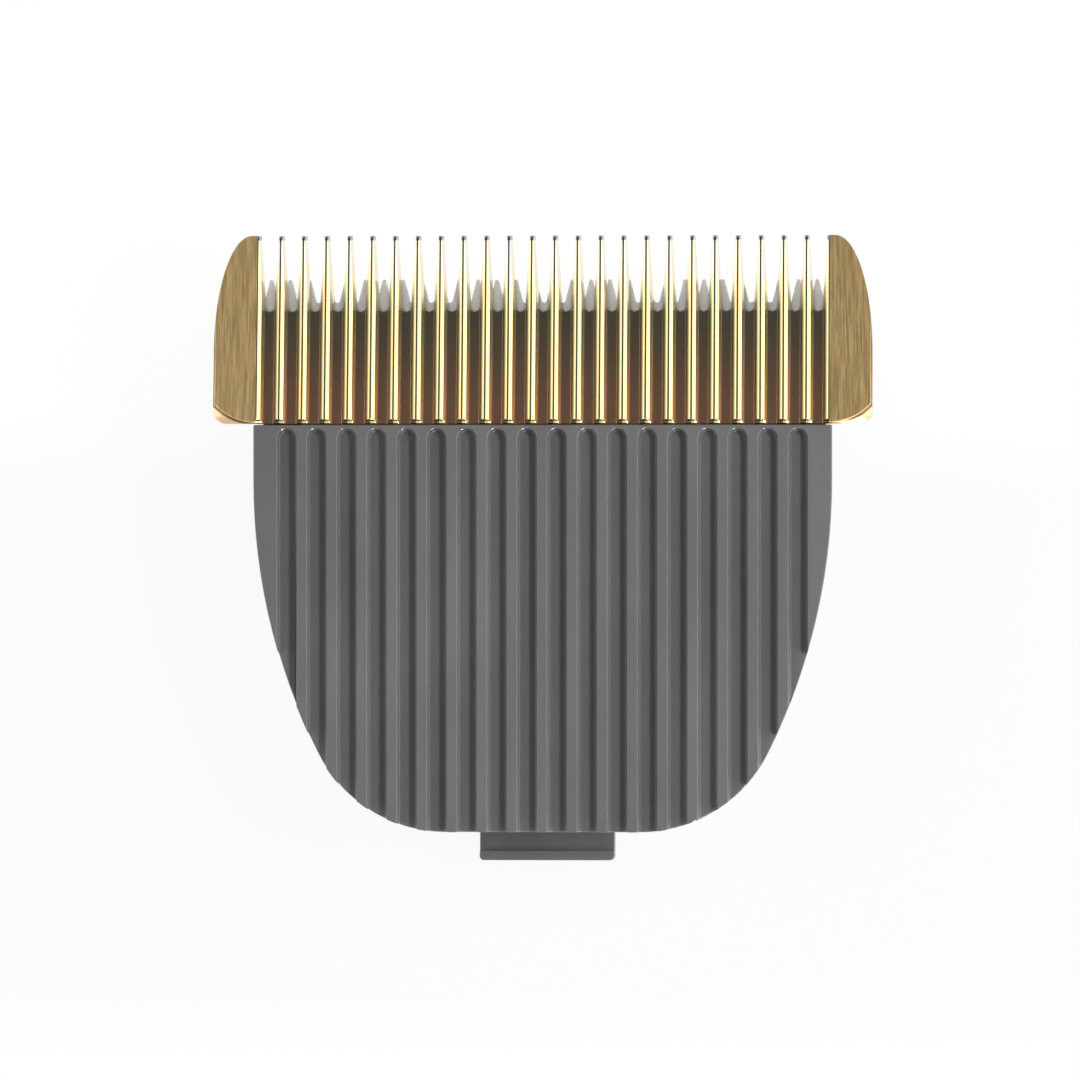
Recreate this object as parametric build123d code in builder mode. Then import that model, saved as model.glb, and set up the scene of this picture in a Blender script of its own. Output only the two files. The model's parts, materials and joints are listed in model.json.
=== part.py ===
import os
from math import asin, cos, degrees, radians, sin, tan

from build123d import *

# Lengths along the part, in millimetres, from the tooth tips back to the hook
comb_length = 13.17
holder_length = 28.5
hook_reach = 2.17
seam_gap = 0.08

# Heights above the rim that the part lies on
holder_height = 10.0
comb_proud = 0.4
comb_thickness = 2.8
slide_gap = 0.02
cutter_thickness = 2.0
seat_gap = 0.02
bridge_thickness = 1.3

# Comb blade
tooth_count = 24
tooth_pitch = 1.6
cheek_width = 3.0
cheek_tip_land = 0.4
cheek_sweep = 8.0
cheek_corner = 0.9
crest_slope = 8.0
tip_rounding = 0.4
tip_nose_angle = 18.0
throat_reach = 5.23
throat_width = 0.56
tip_tooth_width = 0.4
gap_flare = 7.0
ridge_land = 0.14
ridge_shoulder = 0.23
ridge_shoulder_angle = 38.0
ridge_flank_angle = 13.0
ridge_height = 0.85
hip_top = 0.34
hip_waist = 0.18
hip_waist_drop = 0.38
hip_lip_angle = 34.0
bevel_side = 0.12
bevel_rear = 0.12
bevel_corner_run = 2.9
bevel_corner_rise = 1.3
tongue_length = 8.0
tongue_thickness = 0.9
tongue_inset = 3.2
tongue_root = 0.75
tongue_corner = 1.5

# Cutter blade
cutter_setback = 3.06
cutter_teeth = 32
cutter_tooth_depth = 1.6
cutter_tip_width = 0.2
cutter_valley_width = 0.36
cutter_tip_thickness = 0.6
cutter_bevel_run = 4.4
cutter_rear_gap = 0.3
cutter_end_margin = 0.7
stroke = 1.2

# Drive carrier
carrier_side_gap = 0.6
carrier_rear_gap = 0.9
carrier_depth = 6.0
carrier_corner = 1.2
peg_diameter = 2.0
peg_gap = 0.05
peg_inset = 4.6
peg_top_gap = 0.4
fork_slot = 4.6
fork_prong = 2.0
fork_floor_gap = 0.6
fork_rounding = 0.5
foot_lip_width = 0.8
foot_lip_height = 0.7
foot_lip_gap = 0.35

# Tension spring
wire_diameter = 0.8
wire_sides = 8
wire_gap = 0.03
wire_bend = 1.3
foot_start = 9.0
foot_end_gap = 0.4
anchor_half = 7.0
anchor_setback = 6.4

# Holder shell
holder_width = 40.4
side_run = 4.0
side_radius = 42.5
tail_radius = 10.0
draft = 8.0
face_band = 0.9
wall = 1.4
front_wall = 1.8
arm_reach = 5.0
arm_clearance = 0.8
shelf_thickness = 1.5
ledge_reach = 0.12
ledge_inset = 0.06
pocket_gap = 0.05
pocket_end_wall = 1.4

# Flutes in the front face
flute_count = 18
flute_width = 1.33
flute_depth = 0.7
flute_land = 0.28
flute_draft = 6.0
flute_edge_land = 1.685

# Hook at the tail and snap nubs inside the side walls
hook_width = 9.5
hook_height = 2.0
hook_thickness = 1.4
hook_root = 1.6
hook_corner = 0.3
hook_lip_width = 0.7
hook_lip_rise = 0.45
nub_radius = 0.8
nub_angle = 18.0
nub_height = 1.2
nub_length = 2.0
nub_proud = 0.4

# Spring hooks under the shelf
spring_hook_x = 4.2
spring_hook_width = 2.4
spring_hook_depth = 2.6
spring_hook_lip = 0.8
spring_hook_gap = 0.05

# Clamp screws
screw_diameter = 2.0
screw_gap = 0.04
shelf_hole_gap = 0.15
screw_head_diameter = 3.8
screw_head_height = 1.2
screw_edge = 6.0
screw_setback = 4.3
screw_tip_gap = 0.15
recess_width = 0.5
recess_length = 2.2
recess_depth = 0.6
head_bevel = 0.3

cut_margin = 1.0

# Positions that follow from the sizes above
overall_length = comb_length + holder_length + hook_reach
tip_y = overall_length / 2
seam_y = tip_y - comb_length
front_y = seam_y - seam_gap
tail_y = seam_y - holder_length
hook_end_y = tail_y - hook_reach

crest_z = holder_height + comb_proud
cutting_z = crest_z - comb_thickness
cutter_top = cutting_z - slide_gap
cutter_bottom = cutter_top - cutter_thickness
carrier_top = cutter_bottom - seat_gap
wing_bottom = carrier_top - bridge_thickness
wire_z = wing_bottom - wire_gap - wire_diameter / 2
shelf_top = cutting_z - pocket_gap
shelf_bottom = shelf_top - shelf_thickness
tongue_top = cutting_z + tongue_thickness
inner_z = holder_height - front_wall
arm_top = cutter_bottom - arm_clearance

groove_count = tooth_count + 1
field_half = groove_count * tooth_pitch / 2
comb_half = field_half + cheek_width
cutter_half = comb_half - stroke - cutter_end_margin
cutter_pitch = 2 * cutter_half / cutter_teeth
cutter_tip_y = tip_y - cutter_setback
cutter_rear_y = seam_y + cutter_rear_gap

holder_half = holder_width / 2
draft_slope = tan(radians(draft))
draft_top = holder_height - face_band
rim_inset = draft_top * draft_slope
carrier_half = holder_half - wall - rim_inset - stroke - carrier_side_gap
carrier_rear_y = seam_y + carrier_rear_gap
carrier_front_y = carrier_rear_y + carrier_depth
carrier_mid_y = (carrier_rear_y + carrier_front_y) / 2
peg_x = carrier_half - peg_inset
tongue_half = holder_half - tongue_inset
screw_x = tongue_half - screw_edge
screw_y = seam_y - screw_setback
foot_y = carrier_mid_y
foot_end = carrier_half - stroke - foot_end_gap
anchor_y = seam_y - anchor_setback

slope_sin = sin(radians(crest_slope))
slope_cos = cos(radians(crest_slope))
slope_tan = tan(radians(crest_slope))
tip_top_z = crest_z - comb_length * slope_tan

# Section of one groove between two ridges, measured down from the crest line
flank_tan = tan(radians(ridge_flank_angle))
land_x = (tooth_pitch - ridge_land) / 2
shoulder_x = land_x - ridge_shoulder
shoulder_drop = ridge_shoulder * tan(radians(ridge_shoulder_angle))
floor_x = shoulder_x - (ridge_height - shoulder_drop) * flank_tan
with BuildSketch() as groove:
    with BuildLine():
        Polyline(
            (0, -cut_margin),
            (land_x, -cut_margin),
            (land_x, 0),
            (shoulder_x, shoulder_drop),
            (floor_x, ridge_height),
            (0, ridge_height),
        )
        mirror(about=Plane.YZ)
    make_face()

# Cutter of one gap between two comb teeth: narrow at the cutting plane and wider above it
throat_y = tip_y - throat_reach + throat_width / 2
throat_half = throat_width / 2
throat_corner = throat_half * cos(radians(45))
gap_half = (tooth_pitch - tip_tooth_width) / 2
with BuildPart() as gap_cutter:
    with BuildSketch(Plane.XY.offset(cutting_z - slide_gap)):
        with BuildLine():
            Polyline(
                (0, tip_y + cut_margin),
                (gap_half, tip_y + cut_margin),
                (gap_half, tip_y),
                (throat_half, throat_y),
                (throat_corner, throat_y - throat_corner),
                (0, throat_y - throat_half),
            )
            mirror(about=Plane.YZ)
        make_face()
    extrude(amount=comb_thickness + cut_margin, taper=-gap_flare)

# Plan of one valley between two cutter teeth
valley_y = cutter_tip_y - cutter_tooth_depth
valley_half = (cutter_pitch - cutter_tip_width) / 2
valley_foot = cutter_valley_width / 2
with BuildSketch() as valley:
    with BuildLine():
        Line((0, cutter_tip_y + cut_margin), (valley_half, cutter_tip_y + cut_margin))
        Line((valley_half, cutter_tip_y + cut_margin), (valley_half, cutter_tip_y))
        Polyline(
            (valley_half, cutter_tip_y),
            (valley_foot, valley_y + valley_foot / 2),
            (valley_foot / 2, valley_y),
            (0, valley_y),
        )
        mirror(about=Plane.YZ)
    make_face()

# Comb blade: a wedge with a wide cheek at each end, ridged on the outside, and a tongue behind
with BuildPart() as comb_blade:
    with BuildSketch(Plane.XY.offset(cutting_z)):
        with BuildLine():
            rear = Line((0, seam_y), (comb_half - cheek_corner, seam_y))
            corner = JernArc(rear @ 1, (1, 0), cheek_corner, 90)
            side = Line(corner @ 1, (comb_half, tip_y - cheek_sweep))
            ear = EllipticalCenterArc(
                (field_half + cheek_tip_land, tip_y - cheek_sweep),
                cheek_width - cheek_tip_land,
                cheek_sweep,
                start_angle=0,
                arc_size=90,
            )
            front = Line((field_half + cheek_tip_land, tip_y), (0, tip_y))
            mirror(about=Plane.YZ)
        make_face()
    extrude(amount=comb_thickness)

    with BuildSketch(Plane.YZ):
        with BuildLine():
            Polyline(
                (seam_y, cutting_z),
                (tip_y, cutting_z),
                (tip_y, tip_top_z),
                (seam_y, crest_z),
                close=True,
            )
        make_face()
    extrude(amount=comb_half + cut_margin, both=True, mode=Mode.INTERSECT)

    crest_plane = Plane(
        origin=(0, seam_y, crest_z), x_dir=(1, 0, 0), z_dir=(0, slope_sin, slope_cos)
    )
    bevel_drop = comb_thickness + cut_margin
    face_half = comb_half - bevel_side
    face_run = comb_length / slope_cos + cut_margin
    bevel_planes = (crest_plane.offset(cut_margin), crest_plane.offset(-bevel_drop))
    bevel_grows = (-cut_margin, bevel_drop)
    for bevel_plane, grow in zip(bevel_planes, bevel_grows):
        with BuildSketch(bevel_plane):
            with BuildLine():
                low = bevel_rear - grow
                out = face_half + grow
                Line((0, low), (out - bevel_corner_run, low))
                TangentArc(
                    (out - bevel_corner_run, low), (out, low + bevel_corner_rise), tangent=(1, 0)
                )
                Line((out, low + bevel_corner_rise), (out, face_run))
                Line((out, face_run), (0, face_run))
                mirror(about=Plane.YZ)
            make_face()
    loft(mode=Mode.INTERSECT)

    with BuildSketch(Plane.XY.offset(cutting_z)):
        with Locations((0, seam_y - tongue_length / 2)):
            RectangleRounded(2 * tongue_half, tongue_length, tongue_corner)
        with Locations((0, seam_y)):
            Rectangle(2 * tongue_half, 2 * tongue_root)
    extrude(amount=tongue_thickness)
    with BuildSketch(Plane.XY.offset(cutting_z - cut_margin)):
        with Locations((screw_x, screw_y), (-screw_x, screw_y)):
            Circle(screw_diameter / 2 + screw_gap)
    extrude(amount=2 * cut_margin + tongue_thickness, mode=Mode.SUBTRACT)

    tip_trim = tip_rounding / tan(radians(45 + crest_slope / 2))
    tip_turns = [radians(turn) for turn in (0, tip_nose_angle, 90 - crest_slope)]
    tip_curve = [
        (
            tip_y - tip_rounding * (1 - cos(turn)),
            tip_top_z - tip_trim + tip_rounding * sin(turn),
        )
        for turn in tip_turns
    ]
    with BuildSketch(Plane.YZ):
        with BuildLine():
            Polyline(
                *tip_curve,
                (tip_y - tip_trim * slope_cos, tip_top_z + cut_margin),
                (tip_y + cut_margin, tip_top_z + cut_margin),
                (tip_y + cut_margin, tip_top_z - tip_trim),
                close=True,
            )
        make_face()
    extrude(amount=field_half, both=True, mode=Mode.SUBTRACT)

    with GridLocations(tooth_pitch, 0, groove_count, 1):
        add(gap_cutter.part, mode=Mode.SUBTRACT)

    groove_start = -cut_margin
    groove_plane = Plane(
        origin=(0, seam_y + groove_start * slope_cos, crest_z - groove_start * slope_sin),
        x_dir=(1, 0, 0),
        z_dir=(0, slope_cos, -slope_sin),
    )
    with BuildSketch(groove_plane):
        with GridLocations(tooth_pitch, 0, groove_count, 1):
            add(groove.sketch)
    extrude(amount=comb_length / slope_cos + 2 * cut_margin, mode=Mode.SUBTRACT)

    lip_z = crest_z - hip_waist_drop - (hip_waist + cut_margin) * tan(radians(hip_lip_angle))
    with BuildSketch(Plane.YZ):
        with BuildLine():
            Polyline(
                (seam_y + hip_top, crest_z - hip_top * slope_tan),
                (seam_y + hip_waist, crest_z - hip_waist_drop),
                (seam_y - cut_margin, lip_z),
                (seam_y - cut_margin, crest_z + cut_margin),
                (seam_y + hip_top, crest_z + cut_margin),
                close=True,
            )
        make_face()
    extrude(amount=field_half, both=True, mode=Mode.SUBTRACT)

# Cutter blade: a ceramic bar whose teeth sweep under the comb
with BuildPart() as cutter_blade:
    with BuildSketch(Plane.YZ):
        with BuildLine():
            Polyline(
                (cutter_rear_y, cutter_top),
                (cutter_tip_y, cutter_top),
                (cutter_tip_y, cutter_top - cutter_tip_thickness),
                (cutter_tip_y - cutter_bevel_run, cutter_bottom),
                (cutter_rear_y, cutter_bottom),
                close=True,
            )
        make_face()
    extrude(amount=cutter_half, both=True)
    with BuildSketch(Plane.XY.offset(cutter_bottom - cut_margin)):
        with GridLocations(cutter_pitch, 0, cutter_teeth + 1, 1):
            add(valley.sketch)
    extrude(amount=cutter_thickness + 2 * cut_margin, mode=Mode.SUBTRACT)
    with BuildSketch(Plane.XY.offset(cutter_bottom - cut_margin)):
        with Locations((peg_x, carrier_mid_y), (-peg_x, carrier_mid_y)):
            Circle(peg_diameter / 2 + peg_gap)
    extrude(amount=cutter_thickness + 2 * cut_margin, mode=Mode.SUBTRACT)

# Drive carrier: a bridge behind the cutter with two pegs, a fork and a lip for each spring foot
with BuildPart() as drive_carrier:
    with BuildSketch(Plane.XY.offset(wing_bottom)):
        with Locations((0, carrier_mid_y)):
            RectangleRounded(2 * carrier_half, carrier_depth, carrier_corner)
    extrude(amount=bridge_thickness)
    with BuildSketch(Plane.XY.offset(carrier_top)):
        with Locations((peg_x, carrier_mid_y), (-peg_x, carrier_mid_y)):
            Circle(peg_diameter / 2)
    extrude(amount=cutter_thickness + seat_gap - peg_top_gap)
    fork_half = fork_slot / 2 + fork_prong
    with BuildSketch(Plane.XY.offset(fork_floor_gap)):
        with Locations((0, carrier_mid_y)):
            RectangleRounded(2 * fork_half, carrier_depth, fork_rounding)
    extrude(amount=wing_bottom - fork_floor_gap)
    with BuildSketch(Plane.XY.offset(fork_floor_gap - cut_margin)):
        with Locations((0, carrier_mid_y)):
            Rectangle(fork_slot, carrier_depth + 2 * cut_margin)
    extrude(amount=wing_bottom - fork_floor_gap + cut_margin, mode=Mode.SUBTRACT)
    lip_y = foot_y + wire_diameter / 2 + foot_lip_gap + foot_lip_width / 2
    lip_length = carrier_half - carrier_corner - fork_half
    with BuildSketch(Plane.XY.offset(wing_bottom - foot_lip_height)):
        with Locations((fork_half + lip_length / 2, lip_y), (-fork_half - lip_length / 2, lip_y)):
            Rectangle(lip_length, foot_lip_width)
    extrude(amount=foot_lip_height)

# Tension spring: one bent wire that presses the carrier toward the comb
with BuildPart() as tension_spring:
    with BuildLine(Plane.XY.offset(wire_z)):
        FilletPolyline(
            (-foot_end, foot_y),
            (-foot_start, foot_y),
            (-anchor_half, anchor_y),
            (anchor_half, anchor_y),
            (foot_start, foot_y),
            (foot_end, foot_y),
            radius=wire_bend,
        )
    with BuildSketch(Plane(origin=(-foot_end, foot_y, wire_z), z_dir=(1, 0, 0))):
        RegularPolygon(wire_diameter / 2, wire_sides)
    sweep()

# Clamp screws: they hold the tongue of the comb in the pocket of the holder
with BuildPart() as clamp_screws:
    head_top = shelf_bottom - slide_gap
    with BuildSketch(Plane.XY.offset(head_top)):
        with Locations((screw_x, screw_y), (-screw_x, screw_y)):
            Circle(screw_head_diameter / 2)
    extrude(amount=-screw_head_height)
    chamfer(clamp_screws.faces().sort_by(Axis.Z)[:2].edges(), length=head_bevel)
    with BuildSketch(Plane.XY.offset(head_top)):
        with Locations((screw_x, screw_y), (-screw_x, screw_y)):
            Circle(screw_diameter / 2)
    extrude(amount=tongue_top - head_top - screw_tip_gap)
    with BuildSketch(Plane.XY.offset(head_top - screw_head_height)):
        with Locations((screw_x, screw_y), (-screw_x, screw_y)):
            Rectangle(recess_length, recess_width)
            Rectangle(recess_width, recess_length)
    extrude(amount=recess_depth, mode=Mode.SUBTRACT)

# Cutter of one flute: a flat slot with a round end near the comb, open over the tail
flute_pitch = (holder_width - 2 * flute_edge_land - flute_width) / (flute_count - 1)
flute_floor = flute_width - 2 * flute_depth * tan(radians(flute_draft))
flute_end_y = front_y - flute_land - flute_width / 2
flute_run = flute_end_y - tail_y + cut_margin
with BuildPart() as flute_cutter:
    with BuildSketch(Plane.XY.offset(holder_height - flute_depth)):
        with Locations((0, flute_end_y)):
            Circle(flute_floor / 2)
        with Locations((0, flute_end_y - flute_run / 2)):
            Rectangle(flute_floor, flute_run)
    extrude(amount=flute_depth + cut_margin, taper=-flute_draft)

# Blade holder: one moulding with a fluted front, a hollow back, a shelf, spring hooks and a hook
with BuildPart() as blade_holder:
    side_drop = holder_length - side_run - tail_radius
    side_angle = degrees(asin(side_drop / (side_radius - tail_radius)))
    with BuildSketch(Plane.XY.offset(holder_height)) as face:
        with BuildLine():
            arm_y = seam_y + arm_reach
            Line((0, arm_y), (holder_half, arm_y))
            run = Line((holder_half, arm_y), (holder_half, seam_y - side_run))
            flank_arc = JernArc(run @ 1, (0, -1), side_radius, -side_angle)
            tail_arc = JernArc(flank_arc @ 1, flank_arc % 1, tail_radius, side_angle - 90)
            Line(tail_arc @ 1, (0, tail_y))
            mirror(about=Plane.YZ)
        make_face()
    extrude(amount=face_band, dir=(0, 0, -1))
    with BuildSketch(Plane.XY.offset(draft_top)):
        add(face.sketch.moved(Location((0, 0, -holder_height))))
    extrude(amount=draft_top, dir=(0, 0, -1), taper=draft)

    cavity_inset = wall + (front_wall - face_band) * draft_slope
    with BuildSketch(Plane.XY.offset(inner_z)):
        add(face.sketch.moved(Location((0, 0, -holder_height))))
        offset(amount=-cavity_inset)
        with Locations((0, arm_y)):
            Rectangle(2 * (holder_half - cavity_inset), 2 * arm_reach)
    extrude(amount=inner_z + cut_margin, dir=(0, 0, -1), taper=draft, mode=Mode.SUBTRACT)

    with BuildSketch(Plane.XY.offset(arm_top)):
        with Locations((0, front_y + arm_reach)):
            Rectangle(2 * holder_width, 2 * arm_reach)
    extrude(amount=holder_height, mode=Mode.SUBTRACT)

    shelf_depth = tongue_length + pocket_end_wall
    shelf_half = holder_half - (draft_top - shelf_bottom) * draft_slope - wall / 2
    with BuildSketch(Plane.XY.offset(shelf_bottom)):
        with Locations((0, front_y - shelf_depth / 2)):
            Rectangle(2 * shelf_half, shelf_depth)
    extrude(amount=inner_z + wall / 2 - shelf_bottom)
    ledge_half = holder_half - (draft_top - shelf_bottom) * draft_slope - ledge_inset
    ledge_front = seam_y + ledge_reach
    ledge_rear = front_y - wall
    with BuildSketch(Plane.XY.offset(shelf_bottom)):
        with Locations((0, (ledge_front + ledge_rear) / 2)):
            Rectangle(2 * ledge_half, ledge_front - ledge_rear)
    extrude(amount=shelf_thickness)
    with BuildSketch(Plane.XY.offset(shelf_bottom - cut_margin)):
        with Locations((screw_x, screw_y), (-screw_x, screw_y)):
            Circle(screw_diameter / 2 + shelf_hole_gap)
    extrude(amount=shelf_thickness + 2 * cut_margin, mode=Mode.SUBTRACT)
    pocket_depth = tongue_length + pocket_gap - seam_gap
    with BuildSketch(Plane.XY.offset(shelf_top)):
        with Locations((0, front_y - (pocket_depth - cut_margin) / 2)):
            Rectangle(2 * (tongue_half + pocket_gap), pocket_depth + cut_margin)
    extrude(amount=tongue_thickness + 2 * pocket_gap, mode=Mode.SUBTRACT)

    hook_bottom = wire_z - wire_diameter / 2 - spring_hook_gap - spring_hook_lip
    with BuildSketch(Plane.XY.offset(hook_bottom)):
        with Locations((spring_hook_x, anchor_y), (-spring_hook_x, anchor_y)):
            Rectangle(spring_hook_width, spring_hook_depth)
    extrude(amount=shelf_bottom - hook_bottom)
    slot_half = wire_diameter / 2 + spring_hook_gap
    with BuildSketch(Plane.YZ):
        with Locations((anchor_y, wire_z)):
            Circle(slot_half)
        with Locations((anchor_y - spring_hook_depth / 2, wire_z)):
            Rectangle(spring_hook_depth, 2 * slot_half)
    extrude(amount=spring_hook_x + spring_hook_width, both=True, mode=Mode.SUBTRACT)

    with BuildSketch(Plane.XY.offset(hook_height)):
        hook_back = tail_y + rim_inset + hook_root
        with Locations((0, (hook_back + hook_end_y) / 2)):
            RectangleRounded(hook_width, hook_back - hook_end_y, hook_corner)
    extrude(amount=hook_thickness)
    lip_top = hook_height + hook_thickness + hook_lip_rise
    lip_low = hook_height + hook_thickness / 2
    with BuildSketch(Plane.XY.offset(lip_low)):
        with Locations((0, (hook_back + hook_end_y) / 2)):
            RectangleRounded(hook_width, hook_back - hook_end_y, hook_corner)
        with Locations((0, hook_end_y + hook_lip_width / 2)):
            Rectangle(hook_width, hook_lip_width, mode=Mode.INTERSECT)
    extrude(amount=lip_top - lip_low)

    nub_reach = side_radius - (draft_top - nub_height) * draft_slope - wall
    nub_reach = nub_reach + nub_radius - nub_proud
    nub_x = holder_half - side_radius + nub_reach * cos(radians(nub_angle))
    nub_y = seam_y - side_run - nub_reach * sin(radians(nub_angle))
    with BuildSketch(Plane.XY.offset(nub_height)):
        with Locations((nub_x, nub_y), (-nub_x, nub_y)):
            Circle(nub_radius)
    extrude(amount=nub_length)

    with GridLocations(flute_pitch, 0, flute_count, 1):
        add(flute_cutter.part, mode=Mode.SUBTRACT)

os.makedirs("parts", exist_ok=True)
blade_holder.part.label = "blade_holder"
export_step(blade_holder.part, "parts/blade_holder.step")
comb_blade.part.label = "comb_blade"
export_step(comb_blade.part, "parts/comb_blade.step")
cutter_blade.part.label = "cutter_blade"
export_step(cutter_blade.part, "parts/cutter_blade.step")
drive_carrier.part.label = "drive_carrier"
export_step(drive_carrier.part, "parts/drive_carrier.step")
tension_spring.part.label = "tension_spring"
export_step(tension_spring.part, "parts/tension_spring.step")
clamp_screws.part.label = "clamp_screws"
export_step(clamp_screws.part, "parts/clamp_screws.step")
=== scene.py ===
"""Finishes of the clipper blade: gold comb, ceramic cutter, fluted holder and the works behind them."""

import json
from math import atan2, cos, pi, radians, sin, tan

import bpy
from bpy.props import FloatProperty, FloatVectorProperty, IntProperty, PointerProperty
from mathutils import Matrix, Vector

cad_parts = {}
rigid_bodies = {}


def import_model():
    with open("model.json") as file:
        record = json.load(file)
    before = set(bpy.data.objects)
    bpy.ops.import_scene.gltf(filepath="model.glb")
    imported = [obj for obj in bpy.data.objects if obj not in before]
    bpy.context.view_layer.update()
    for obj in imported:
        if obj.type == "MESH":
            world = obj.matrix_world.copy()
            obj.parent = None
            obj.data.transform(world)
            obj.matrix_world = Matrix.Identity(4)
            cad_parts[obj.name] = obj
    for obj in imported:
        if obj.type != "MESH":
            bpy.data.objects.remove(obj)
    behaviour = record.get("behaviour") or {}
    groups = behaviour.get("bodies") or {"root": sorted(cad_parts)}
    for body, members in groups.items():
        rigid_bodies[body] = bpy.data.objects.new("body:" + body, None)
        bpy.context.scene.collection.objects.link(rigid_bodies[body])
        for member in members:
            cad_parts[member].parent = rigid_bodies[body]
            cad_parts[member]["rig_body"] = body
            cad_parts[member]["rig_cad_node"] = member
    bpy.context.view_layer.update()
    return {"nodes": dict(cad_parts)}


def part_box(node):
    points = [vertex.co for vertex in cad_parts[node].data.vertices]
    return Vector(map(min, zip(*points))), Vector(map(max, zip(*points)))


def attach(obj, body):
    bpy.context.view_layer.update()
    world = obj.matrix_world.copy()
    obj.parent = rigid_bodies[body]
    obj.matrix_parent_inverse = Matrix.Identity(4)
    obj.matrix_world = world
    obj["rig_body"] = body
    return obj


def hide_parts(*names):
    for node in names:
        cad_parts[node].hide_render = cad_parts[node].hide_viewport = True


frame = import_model()
comb_low, comb_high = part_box("comb_blade")
spring_low, spring_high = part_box("tension_spring")
screws_low, screws_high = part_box("clamp_screws")

bl_info = {
    "name": "Clipper blade finishes",
    "version": (1, 0, 0),
    "blender": (4, 5, 0),
    "location": "3D View > Sidebar > Clipper Blade",
    "description": "Builds the finished pieces of a clipper blade on its packed frame",
    "category": "Object",
}

MM = 0.001

# The plane of the comb's crests falls toward the tooth tips. Where it meets the seam it lies above
# the comb's highest point, which is bevelled there, and above the holder's face
CREST_SLOPE = radians(8.0)
CREST_CUT = 0.017 * MM
COMB_PROUD = 0.4 * MM

# Points closer than this are merged. Faces that meet at less than the flat angle are joined, edges
# over the sharp angle are rounded, and edges over the smooth angle stay sharp in the shading
MERGE_DISTANCE = 2e-6
FLAT_ANGLE = radians(0.5)
SHARP_ANGLE = radians(30.0)
SMOOTH_ANGLE = radians(40.0)

# Cosine above which a face counts as looking one way
FACING = 0.99

# Where the holder's long faces are split, in millimetres behind the round ends of the flutes
FACE_CUTS = (0.2, 4.0, 9.0, 14.0, 18.0, 21.0, 23.5, 25.5, 26.6)

# Soft limits of the comb's finishes and of its painted shade, in millimetres above the plane of the
# crests
BRUSHED_LEVEL = (-0.05, -0.02)
# Painted dark line along the top edges of the cheeks' sides
EDGE_SHADE_LEVEL = (-0.19, -0.14)
# Painted shade low on the left and right flanks of the ridges
LEFT_SHADE_LEVEL = (-0.165, -0.01)
RIGHT_SHADE_LEVEL = (-0.84, -0.40)
FLOOR_LEVEL = (-0.845, -0.82)

# Soft limits of the comb's painted shade, highlight and reflection, in millimetres behind the tooth
# tips
# Where the painted shade low on the flanks fades out toward the tips
LEFT_SHADE_START = (5.6, 2.3)
RIGHT_SHADE_START = (5.5, 4.2)
# Painted highlight: the ridges turn paler toward the tips
PALE_SHEEN_START = (5.0, 0.0)
# Painted shade: the ends of the teeth turn dark grey
TIP_SHADE_START = (0.38, 0.22)
# The groove floors go from a painted orange reflection at the seam to painted shade from here on
GROOVE_SHADE_END = 5.2

# Soft limits of the cheeks, in millimetres from the middle and above the comb's underside
CHEEK_START = (20.00, 20.04)
# Above this, the cheeks' sides carry a painted peach reflection
CHEEK_SIDE_START = (0.05, 0.15)

# Where the left flank of a ridge gives way to the right one, as a share of the tooth pitch from
# the middle of a groove
CREST_PHASE = (0.49, 0.51)

# Soft limits of the band of edges that is rubbed smooth, in millimetres below the holder's face
RUBBED_LOW = (0.20, 0.14)
RUBBED_HIGH = (0.012, 0.004)

# Faces round a clamp screw, and how much its recess narrows toward the bottom
SCREW_SIDES = 48
RECESS_TAPER = 0.72

# Place and size of each lamp in metres
LAMPS = {
    "left_light": ((-0.49, 0.0, 0.31), (0.80, 0.52)),
    "right_light": ((0.49, 0.0, 0.31), (0.80, 0.52)),
    "key_light": ((0.45, 0.14, 0.536), (0.30, 0.12)),
    "front_light": ((0.0, 0.234, 0.36), (0.30, 0.012)),
    "back_light": ((0.24, -0.55, 0.20), (0.16, 0.16)),
}

# Floor, dark card and shade flag in metres
FLOOR_SIZE = 6.0
FLOOR_DROP = 0.01 * MM
CARD_HEIGHT = 0.42
CARD_LENGTH = 1.2
CARD_BEND = (0.0, 0.12, -0.36)
FLAG_PLACE = (0.0, 0.055, 0.10)
FLAG_SIZE = (0.13, 0.030)

# How much of the floor is plain white to the eye
FLOOR_GLOW = 0.92

# Width of the camera's sensor in millimetres
SENSOR_WIDTH = 36.0


def length(name, description, default):
    """A length property in metres."""
    return FloatProperty(
        name=name, description=description, default=default, min=0.0, unit="LENGTH", precision=6
    )


def tint(name, description, default):
    """A colour property."""
    return FloatVectorProperty(
        name=name, description=description, default=default, size=3, min=0.0, max=1.0, subtype="COLOR"
    )


def watts(name, description, default):
    """A lamp's power property."""
    return FloatProperty(name=name, description=description, default=default, min=0.0, unit="POWER")


def factor(name, description, default):
    """A property between zero and one."""
    return FloatProperty(
        name=name, description=description, default=default, min=0.0, max=1.0, subtype="FACTOR"
    )


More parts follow.
